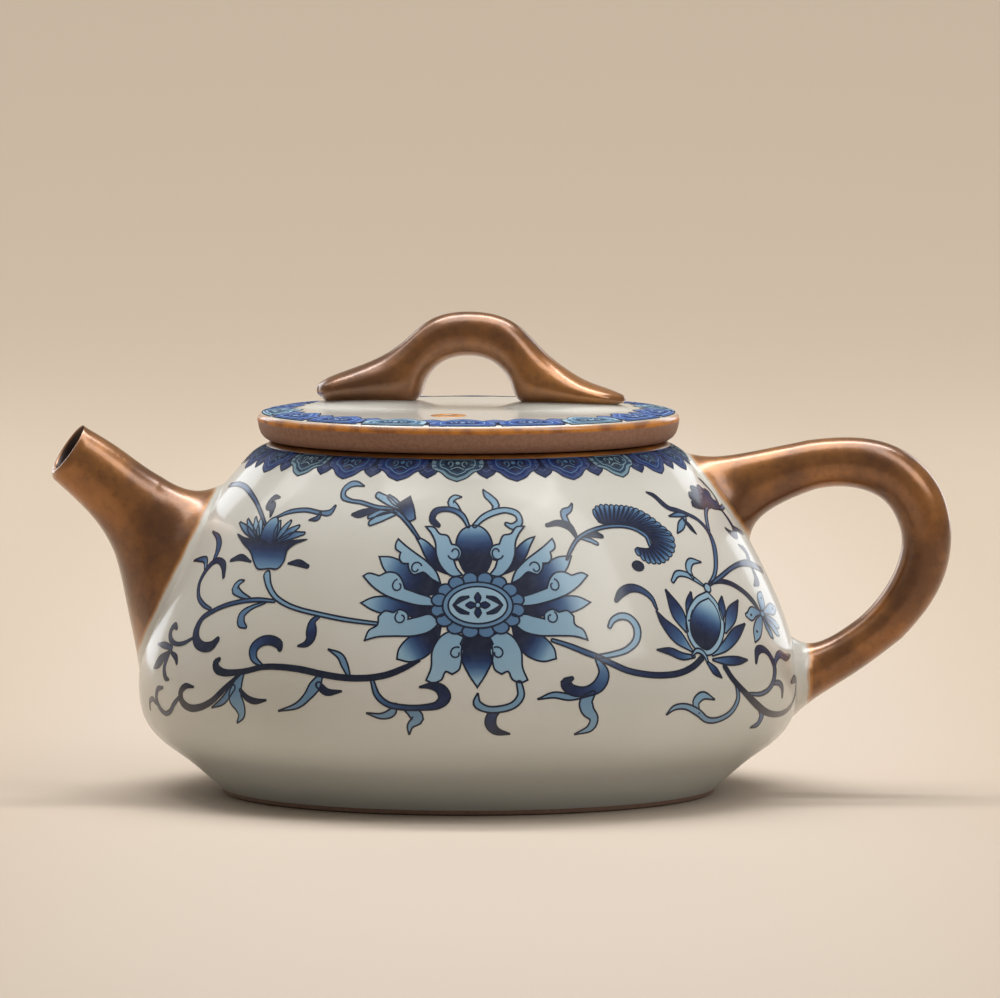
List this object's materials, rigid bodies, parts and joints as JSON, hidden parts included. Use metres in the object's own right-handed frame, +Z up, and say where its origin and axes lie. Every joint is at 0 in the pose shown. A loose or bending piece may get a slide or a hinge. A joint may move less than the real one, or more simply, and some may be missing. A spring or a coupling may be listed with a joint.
{
  "type": "teapot",
  "caption": "Low wide glazed teapot with a trumpet spout, loop handle, pierced strainer and a lift-off lid with a bridge knob.",
  "frame": {"origin": "middle of the bounding box on the table the pot stands on", "axes": "+Z up, the spout points to -X, the handle to +X, the main painted side faces -Y"},
  "size_m": [0.1498, 0.1098, 0.0802],
  "materials": {
    "cream_glaze": "clear gloss glaze over white clay",
    "brown_glaze": "satin lustre glaze",
    "bare_clay": "unglazed fine clay",
    "blue_ink": "underglaze painting",
    "amber_edge": "thin amber glaze line"
  },
  "bodies": {
    "pot": {"body": "cream_glaze", "foot_ring": "bare_clay", "mouth_collar": "brown_glaze", "spout": "brown_glaze", "strainer": "cream_glaze", "handle": "brown_glaze"},
    "lid": {"lid_plate": "cream_glaze", "lid_flange": "bare_clay", "lid_knob": "brown_glaze"}
  },
  "joints": [
    {"name": "lid_lift", "type": "slide", "parent": "pot", "child": "lid", "axis": [0, 0, 1], "range_m": [0, 0.06]}
  ]
}
